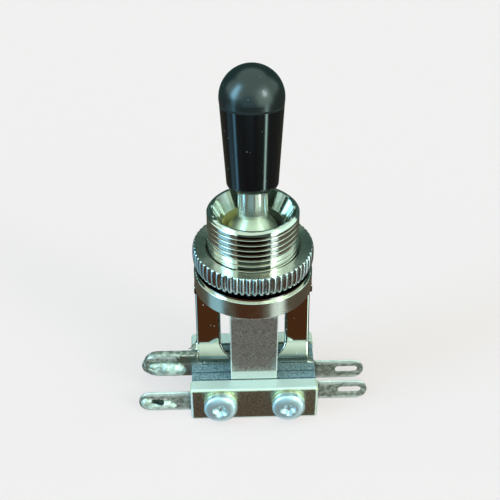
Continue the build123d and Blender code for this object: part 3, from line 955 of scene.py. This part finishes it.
def make_bushing():
    """The threaded bushing with its flange, mouth, bore, staked spigot and pin hole."""
    rim_radius = THREAD_RADIUS - RIM_CHAMFER
    crown_bottom = FLANGE_BOTTOM - SHEET
    mesh = bmesh.new()
    screw_thread(
        mesh, THREAD_BOTTOM, RIM_TOP, THREAD_RADIUS, THREAD_ROOT, THREAD_PITCH, rim_radius, BUSHING_COLUMNS,
        slot=THREAD_SLOT,
    )
    outside = rounded((
        (THREAD_ROOT, THREAD_BOTTOM, 0),
        (THREAD_HIDDEN, THREAD_BOTTOM, 0),
        (THREAD_HIDDEN, FLANGE_TOP, 0),
        (FLANGE_RADIUS, FLANGE_TOP, FLANGE_EDGE),
        (FLANGE_RADIUS, FLANGE_BOTTOM, FLANGE_EDGE),
        (SPIGOT_RADIUS, FLANGE_BOTTOM, 0),
        (SPIGOT_RADIUS, crown_bottom, 0),
        (SPIGOT_RADIUS + STAKE_LIP, crown_bottom, 0),
        (SPIGOT_RADIUS + STAKE_LIP, SPIGOT_BOTTOM, STAKE_LIP / 2),
        (PASSAGE_BOTTOM, SPIGOT_BOTTOM, 0),
    ))
    lathe(mesh, outside, BUSHING_COLUMNS)
    inside = rounded((
        (PASSAGE_BOTTOM, SPIGOT_BOTTOM, 0),
        (PASSAGE_TOP, BORE_FLOOR, 0),
        (BORE_RADIUS, BORE_FLOOR, 0),
        (BORE_RADIUS, RIM_TOP - MOUTH_DEPTH, RIM_EDGE),
        (MOUTH_RADIUS, RIM_TOP, RIM_EDGE),
        (rim_radius, RIM_TOP, 0),
    ))
    mouth = len(inside) - MOUTH_ROWS
    lathe(mesh, inside, BUSHING_COLUMNS, lambda row: BORE_SLOT if row < mouth else MOUTH_SLOT)
    data = finished_mesh("bushing_body", mesh)
    for name in BUSHING_MATERIALS:
        data.materials.append(MATERIALS[name])
    hole = bmesh.new()
    turn = Matrix.Translation((0, 0, PIVOT_Z)) @ Matrix.Rotation(math.pi / 2, 4, "Y")
    bmesh.ops.create_cone(
        hole, cap_ends=True, segments=PIN_HOLE_COLUMNS, radius1=PIN_HOLE_RADIUS, radius2=PIN_HOLE_RADIUS,
        depth=4 * THREAD_RADIUS, matrix=turn,
    )
    data = cut(data, finished_mesh("pin_hole", hole))
    data.set_sharp_from_angle(angle=BUSHING_CREASE)
    add_piece("bushing_body", data, "frame", "bushing_nickel", "bushing")


# Knurled ring nut

NUT_BORE = 5.71 * MM
NUT_FOOT_RADIUS = 7.55 * MM
NUT_FOOT_TOP = 0.45 * MM
NUT_KNURL_BOTTOM = 1.6 * MM
NUT_EDGE = 0.14 * MM
NUT_CHAMFER = 0.20 * MM
NUT_MOUTH = 6.32 * MM
KNURL_TEETH = 58
KNURL_DEPTH = 0.27 * MM
KNURL_FULLNESS = 1.1
KNURL_BARREL = 0.12 * MM
KNURL_COLUMNS = 10
KNURL_ROW = 0.09 * MM
KNURL_FEWEST_ROWS = 3
KNURL_MARGIN = 0.06 * MM
NUT_RADIUS = nut_high.x
KNURL_INNER = NUT_RADIUS - KNURL_DEPTH - KNURL_BARREL - KNURL_MARGIN
NUT_CREASE = math.radians(60)


def knurled_outline():
    """The nut's outside from the top face down to its foot, in short even rows."""
    corners = (
        (KNURL_INNER, NUT_TOP),
        (NUT_RADIUS - NUT_CHAMFER, NUT_TOP),
        (NUT_RADIUS, NUT_TOP - NUT_CHAMFER),
        (NUT_RADIUS, FLANGE_TOP + NUT_KNURL_BOTTOM),
        (NUT_FOOT_RADIUS, FLANGE_TOP + NUT_FOOT_TOP),
    )
    points = []
    for first, second in zip(corners, corners[1:]):
        start, end = Vector(first), Vector(second)
        rows = max(KNURL_FEWEST_ROWS, round((end - start).length / KNURL_ROW))
        points += [start.lerp(end, row / rows) for row in range(rows)]
    return points + [Vector(corners[-1])]


def barrel(height):
    """How far the rounded ribs draw in towards their ends."""
    middle = (NUT_TOP + FLANGE_TOP + NUT_KNURL_BOTTOM) / 2
    share = abs(height - middle) / (NUT_TOP - middle)
    return KNURL_BARREL * share ** 3


def make_nut():
    """The ring nut: knurled outside, plain foot, and a countersunk bore."""
    outline = knurled_outline()

    def place(row, angle):
        radius, height = outline[row]
        fullness = clamped(KNURL_FULLNESS * abs(math.sin(angle * KNURL_TEETH / 2)))
        radius = min(radius, NUT_RADIUS - barrel(height) - KNURL_DEPTH * (1 - fullness))
        return polar(radius, angle, height)

    mesh = bmesh.new()
    columns = KNURL_TEETH * KNURL_COLUMNS
    knurled = [int(after.y < NUT_TOP - WELD) for after in outline[1:]]
    ring_grid(mesh, len(outline), columns, place, 0, lambda row: knurled[row])
    rest = rounded((
        (NUT_FOOT_RADIUS, FLANGE_TOP + NUT_FOOT_TOP, 0),
        (NUT_FOOT_RADIUS, FLANGE_TOP, 0),
        (NUT_BORE, FLANGE_TOP, 0),
        (NUT_BORE, NUT_TOP - (NUT_MOUTH - NUT_BORE), 0),
        (NUT_MOUTH, NUT_TOP, NUT_EDGE),
        (KNURL_INNER - NUT_EDGE, NUT_TOP, 0),
        (KNURL_INNER, NUT_TOP, 0),
    ))
    lathe(mesh, rest, columns)
    data = finished_mesh("ring_nut", mesh)
    data.set_sharp_from_angle(angle=NUT_CREASE)
    data.materials.append(MATERIALS["nut_nickel"])
    data.materials.append(MATERIALS["knurl_nickel"])
    add_piece("ring_nut", data, "frame", "nut_nickel", "knurled_nut")


# Frame: two legs folded from one sheet, with the crown plate and the ground lug

LEG_OUTER = FLANGE_RADIUS + 0.05 * MM
LEG_WIDTH = 3.4 * MM
LEG_INNER = LEG_OUTER - LEG_WIDTH
PLATE_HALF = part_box("front_inner_insulator")[1].x
CROWN_Z = FLANGE_BOTTOM - SHEET / 2
JOGGLE_BOTTOM = 6.5 * MM
JOGGLE_TOP = 8.1 * MM
LEG_OFFSET = 1.2 * MM
LEG_TOP_OFFSET = 2.65 * MM
JOGGLE_BEND = 0.6 * MM
CROWN_BEND = 1.2 * MM
WINDOW_FLOOR = 6.0 * MM
WINDOW_STRAIGHT = 8.5 * MM
WINDOW_ROUNDNESS = 2.2
SHEET_EDGE = 0.36 * MM
SHEET_ROW = 0.22 * MM
LUG_REACH = 15.5 * MM
LUG_ROOT = 7.7 * MM
LUG_WEB = 1.5 * MM
EYE_RIM = 0.85 * MM
EYE_LENGTH = 4.2 * MM
EYE_HEIGHT = 1.5 * MM
TINNED_SHEET = 1.24 * MM
CROWN_SHEET = 1.17 * MM
CROWN_FRONT_RADIUS = 6.2 * MM
CROWN_SHOULDER = 0.9 * MM
TONGUE_HALF = 4.65 * MM
TONGUE_REACH = 6.4 * MM
TONGUE_CORNER = 2.3 * MM
BEND_STEPS = 10
LUG_STEPS = 28
CROWN_STEPS = 48
TONGUE_STEPS = 12
HOLE_STEPS = 36
FRAME_CREASE = math.radians(50)


def sheet_path():
    """Close places along the middle of the folded sheet, from its foot to the crown."""
    corners = rounded((
        (0, 0, 0),
        (0, JOGGLE_BOTTOM, JOGGLE_BEND),
        (LEG_OFFSET, JOGGLE_TOP, JOGGLE_BEND),
        (LEG_TOP_OFFSET, CROWN_Z, CROWN_BEND),
        (-CROWN_SHOULDER, CROWN_Z, 0),
    ), BEND_STEPS)
    places = []
    for start, end in zip(corners, corners[1:]):
        rows = max(1, round((end - start).length / SHEET_ROW))
        places += [start.lerp(end, row / rows) for row in range(rows)]
    return places + [corners[-1]]


def window_half(height):
    """Half the width of the opening between the legs, round at its foot."""
    share = clamped((height - WINDOW_FLOOR) / (WINDOW_STRAIGHT - WINDOW_FLOOR))
    return LEG_INNER * (1 - (1 - share) ** WINDOW_ROUNDNESS) ** (1 / WINDOW_ROUNDNESS)


def leg_reach(side, height):
    """How far the sheet reaches out on one side at a height."""
    if height < STACK_TOP:
        return PLATE_HALF
    if side < 0 and LUG_TOP < height < LUG_TOP + LUG_WEB:
        rise = LUG_TOP + LUG_WEB - height
        return LEG_OUTER + LUG_WEB - math.sqrt(LUG_WEB ** 2 - rise ** 2)
    return LEG_OUTER


def strip_section(inner, outer, steps=4):
    """Across and through places round a strip of the sheet with rounded edges."""
    half = SHEET / 2
    soft = SHEET_EDGE * min(1.0, inner / SHEET)
    points = []
    for across, through, edge, first in (
        (outer - SHEET_EDGE, half - SHEET_EDGE, SHEET_EDGE, 0),
        (inner + soft, half - soft, soft, 90),
        (inner + soft, soft - half, soft, 180),
        (outer - SHEET_EDGE, SHEET_EDGE - half, SHEET_EDGE, 270),
    ):
        middle = Vector((across, through))
        spokes = [math.radians(first + 90 * step / steps) for step in range(steps + 1)]
        arms = [Vector((math.cos(angle), math.sin(angle))) * edge for angle in spokes]
        points.append(middle + arms[0] - arms[-1] * SUPPORT)
        points += [middle + arm for arm in arms]
        points.append(middle + arms[-1] - arms[0] * SUPPORT)
    return points


def leg_strip(mesh, side):
    """One half of the folded sheet, from its foot in the stack to the crown."""
    places = sheet_path()
    rings = []
    for index, place in enumerate(places):
        before, after = places[max(0, index - 1)], places[min(len(places) - 1, index + 1)]
        run = (after - before).normalized()
        through = Vector((run.y, -run.x))
        upright = index < len(places) / 2 or place.y < CROWN_Z - SHEET
        inner = window_half(place.y) if upright else LEG_INNER
        outer = leg_reach(side, place.y) if upright else LEG_OUTER
        ring = []
        for across, depth in strip_section(inner, outer):
            spot = place + through * depth
            ring.append(mesh.verts.new((side * across, spot.x, spot.y)))
        rings.append(ring)
    for low, high in zip(rings, rings[1:]):
        for index in range(len(low)):
            after = (index + 1) % len(low)
            mesh.faces.new((low[index], low[after], high[after], high[index]))
    mesh.faces.new(rings[0])
    mesh.faces.new(list(reversed(rings[-1])))


def arc(centre, radius, first, last, steps):
    """Places along an arc, by angles in degrees."""
    places = []
    for step in range(steps + 1):
        angle = math.radians(first + (last - first) * step / steps)
        places.append((centre[0] + radius * math.cos(angle), centre[1] + radius * math.sin(angle)))
    return places


def plate(mesh, loops, thickness, edge, turn):
    """Adds a flat plate with rounded edges; the first loop is its outline and the others are holes."""
    curve = bpy.data.curves.new("plate", "CURVE")
    curve.dimensions = "2D"
    curve.fill_mode = "BOTH"
    curve.extrude = (thickness / 2 - edge) / MM
    curve.bevel_depth = edge / MM
    curve.bevel_resolution = 3
    curve.offset = -edge / MM
    for loop in loops:
        spline = curve.splines.new("POLY")
        spline.points.add(len(loop) - 1)
        for point, (across, up) in zip(spline.points, loop):
            point.co = (across / MM, up / MM, 0, 1)
        spline.use_cyclic_u = True
    data = applied(linked("plate", curve))
    data.transform(turn @ Matrix.Scale(MM, 4))
    mesh.from_mesh(data)


def slot_loop(left, right, middle, height, steps=16):
    """The outline of a slot with round ends, counter-clockwise."""
    radius = height / 2
    right_end = arc((right - radius, middle), radius, -90, 90, steps)
    return right_end + arc((left + radius, middle), radius, 90, 270, steps)


def ground_lug(mesh):
    radius = LUG_HEIGHT / 2
    outline = arc((-LUG_REACH + radius, LUG_MIDDLE), radius, 90, 270, LUG_STEPS)
    outline += [(-LUG_ROOT, LUG_BOTTOM), (-LUG_ROOT, LUG_TOP)]
    eye_left = -LUG_REACH + EYE_RIM
    eye = list(reversed(slot_loop(eye_left, eye_left + EYE_LENGTH, LUG_MIDDLE, EYE_HEIGHT)))
    plate(mesh, (outline, eye), TINNED_SHEET, SHEET_EDGE, Matrix.Rotation(math.pi / 2, 4, "X"))


def crown(mesh):
    """The plate under the flange: round in front, with a tongue at the back."""
    low = math.degrees(math.asin(CROWN_SHOULDER / CROWN_FRONT_RADIUS))
    corner_x, corner_y = TONGUE_HALF - TONGUE_CORNER, TONGUE_REACH - TONGUE_CORNER
    outline = arc((0, 0), CROWN_FRONT_RADIUS, 180 + low, 360 - low, CROWN_STEPS)
    outline += [(LEG_OUTER, -CROWN_SHOULDER), (LEG_OUTER, 0), (TONGUE_HALF, 0)]
    outline += arc((corner_x, corner_y), TONGUE_CORNER, 0, 90, TONGUE_STEPS)
    outline += arc((-corner_x, corner_y), TONGUE_CORNER, 90, 180, TONGUE_STEPS)
    outline += [(-TONGUE_HALF, 0), (-LEG_OUTER, 0), (-LEG_OUTER, -CROWN_SHOULDER)]
    hole = list(reversed(arc((0, 0), SPIGOT_RADIUS, 0, 360 - 360 / HOLE_STEPS, HOLE_STEPS - 1)))
    plate(mesh, (outline, hole), CROWN_SHEET, SHEET_EDGE / 2, Matrix.Translation((0, 0, CROWN_Z)))


def make_frame():
    mesh = bmesh.new()
    for side in (-1, 1):
        leg_strip(mesh, side)
    bmesh.ops.remove_doubles(mesh, verts=mesh.verts, dist=WELD)
    seam = [face for face in mesh.faces if all(abs(vertex.co.x) < WELD for vertex in face.verts)]
    bmesh.ops.delete(mesh, geom=seam, context="FACES")
    ground_lug(mesh)
    crown(mesh)
    data = finished_mesh("folded_frame", mesh)
    data.set_sharp_from_angle(angle=FRAME_CREASE)
    add_piece("folded_frame", data, "frame", "frame_nickel", "frame")


# Screws with worn cross recesses, domed heads and threaded shanks

screws_low, screws_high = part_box("screws")
washers_low, washers_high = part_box("lock_washers")
SCREW_Z = (washers_low.z + washers_high.z) / 2
HEAD_RADIUS = washers_high.z - SCREW_Z
HEAD_SEAT = washers_low.y
HEAD_HEIGHT = HEAD_SEAT - screws_low.y
SCREW_X = washers_high.x - HEAD_RADIUS
SHANK_RADIUS = 1.15 * MM
SHANK_ROOT = 0.95 * MM
SHANK_PITCH = 0.45 * MM
SHANK_CHAMFER = 0.1 * MM
SHANK_LENGTH = screws_high.y - HEAD_SEAT
SHANK_COLUMNS = 32
SHANK_TURN_ROWS = 6
HEAD_DOME = 0.75 * MM
RECESS_HALF = 1.2 * MM
RECESS_WIDTH = 0.18 * MM
RECESS_WALL = 0.36 * MM
RECESS_DEPTH = 0.6 * MM
RECESS_SLOPE = 0.8 * MM
RECESS_WEAR = 0.035 * MM
RECESS_WEAR_SCALE = 2200
RECESS_WEAR_START = 0.2 * MM
HEAD_TURNS = (math.radians(17), math.radians(-10))
HEAD_RINGS = 56
HEAD_COLUMNS = 120
SCREW_CREASE = math.radians(55)


def recess_arm(along, across):
    """How much of the recess's depth one arm of the cross has at a place."""
    wall = (RECESS_WIDTH + RECESS_WALL - abs(across)) / RECESS_WALL
    end = (RECESS_HALF - abs(along)) / RECESS_SLOPE
    return clamped(wall) * clamped(end)


def head_point(share, angle, turn):
    """The radius and the height above its seat of a point on a screw head's worn dome."""
    radius = HEAD_RADIUS * math.sin(share * math.pi / 2)
    up = HEAD_HEIGHT - HEAD_DOME + HEAD_DOME * math.cos(share * math.pi / 2)
    across, along = radius * math.cos(angle + turn), radius * math.sin(angle + turn)
    depth = RECESS_DEPTH * max(recess_arm(along, across), recess_arm(across, along))
    worn = noise_at(Vector((across, along, turn)) * RECESS_WEAR_SCALE) * RECESS_WEAR
    return radius, up - depth + worn * min(1.0, depth / RECESS_WEAR_START)


def make_screw(mesh, spot, turn):
    """One screw about its own +Z axis, then laid along the stack with its head to the front."""
    single = bmesh.new()

    def place(row, angle):
        radius, up = head_point(row / HEAD_RINGS, angle, turn)
        return polar(radius, angle, up)
    ring_grid(single, HEAD_RINGS + 1, HEAD_COLUMNS, place)
    end_radius = SHANK_ROOT - SHANK_CHAMFER
    rim = (
        (HEAD_RADIUS, HEAD_HEIGHT - HEAD_DOME),
        (HEAD_RADIUS, 0),
        (SHANK_RADIUS, 0),
        (SHANK_ROOT, 0),
    )
    lathe(single, rim, HEAD_COLUMNS)
    threaded = bmesh.new()
    screw_thread(
        threaded, 0, SHANK_LENGTH, SHANK_RADIUS, SHANK_ROOT, SHANK_PITCH, end_radius, SHANK_COLUMNS,
        SHANK_TURN_ROWS,
    )
    lathe(threaded, ((end_radius, SHANK_LENGTH), (0, SHANK_LENGTH)), SHANK_COLUMNS)
    lathe(threaded, ((SHANK_ROOT, 0), (0, 0)), SHANK_COLUMNS)
    bmesh.ops.transform(threaded, matrix=Matrix.Diagonal((1, 1, -1, 1)), verts=threaded.verts)
    lay = Matrix.Translation((spot, HEAD_SEAT, SCREW_Z)) @ Matrix.Rotation(math.pi / 2, 4, "X")
    for part in (single, threaded):
        bmesh.ops.remove_doubles(part, verts=part.verts, dist=WELD)
        bmesh.ops.recalc_face_normals(part, faces=part.faces)
        bmesh.ops.transform(part, matrix=lay, verts=part.verts)
        data = bpy.data.meshes.new("part")
        part.to_mesh(data)
        part.free()
        mesh.from_mesh(data)
        bpy.data.meshes.remove(data)


def make_screws():
    mesh = bmesh.new()
    for side, turn in zip((-1, 1), HEAD_TURNS):
        make_screw(mesh, side * SCREW_X, turn)
    data = finished_mesh("pan_screws", mesh)
    data.set_sharp_from_angle(angle=SCREW_CREASE)
    add_piece("pan_screws", data, "frame", "screw_zinc", "screws")


# Solder left on the ground lug and on the front left lug

SOLDER_VOXEL = 0.11 * MM
SOLDER_SMOOTHING = 6
COARSE_SCALE = 1500
COARSE_HEIGHT = 0.12 * MM
FINE_SCALE = 4200
FINE_HEIGHT = 0.05 * MM
# In millimetres: the middle of each eye, then every lump's place across and up from it and its half sizes
GROUND_EYE = (-11.7, -0.25, 4.85)
FRONT_EYE = (-13.7, -4.0, 1.65)
GROUND_LUMPS = (
    # across, up, half width, half height, half thickness
    (-1.35, -0.05, 1.10, 1.05, 0.86),
    (-0.55, -0.10, 1.25, 1.20, 1.00),
    (0.45, -0.12, 1.25, 1.20, 1.02),
    (1.30, -0.15, 1.00, 1.00, 0.88),
    (-2.30, 0.45, 0.75, 0.60, 0.72),
)
FRONT_LUMPS = (
    (-1.50, 0.00, 0.72, 0.92, 0.46),
    (-0.90, -0.55, 0.75, 0.55, 0.50),
    (-0.10, -0.62, 0.80, 0.50, 0.52),
    (0.75, -0.25, 0.75, 0.80, 0.56),
    (1.45, -0.30, 0.75, 0.70, 0.50),
    (2.10, -0.60, 0.70, 0.45, 0.44),
    (0.00, 0.30, 1.20, 0.35, 0.26),
)


def add_lumps(mesh, middle, lumps):
    """Ellipsoids of solder round the middle of a lug's eye."""
    for across, up, half_width, half_height, half_depth in lumps:
        place = Vector((middle[0] + across, middle[1], middle[2] + up)) * MM
        scale = Matrix.Diagonal((half_width * MM, half_depth * MM, half_height * MM, 1))
        shape = Matrix.Translation(place) @ scale
        bmesh.ops.create_icosphere(mesh, subdivisions=3, radius=1.0, matrix=shape)


def make_solder():
    mesh = bmesh.new()
    add_lumps(mesh, GROUND_EYE, GROUND_LUMPS)
    add_lumps(mesh, FRONT_EYE, FRONT_LUMPS)
    data = bpy.data.meshes.new("solder_lumps")
    mesh.to_mesh(data)
    mesh.free()
    lumps = linked("solder_lumps", data)
    remesh = lumps.modifiers.new("remesh", "REMESH")
    remesh.mode = "VOXEL"
    remesh.voxel_size = SOLDER_VOXEL
    smooth = lumps.modifiers.new("smooth", "SMOOTH")
    smooth.iterations = SOLDER_SMOOTHING
    data = applied(lumps)
    data.materials.clear()
    for vertex in data.vertices:
        coarse = noise_at(vertex.co * COARSE_SCALE) * COARSE_HEIGHT
        fine = noise_at(vertex.co * FINE_SCALE) * FINE_HEIGHT
        vertex.co += vertex.normal * (coarse + fine)
    data.shade_smooth()
    add_piece("solder_joints", data, "frame", "solder_tin", "solder")


bpy.context.scene.view_settings.view_transform = "Standard"
make_finishes()
light_room()
build_stage()
place_camera()
dress_cad_nodes()
soften_sheet_parts()
make_bushing()
make_nut()
make_frame()
make_screws()
make_solder()
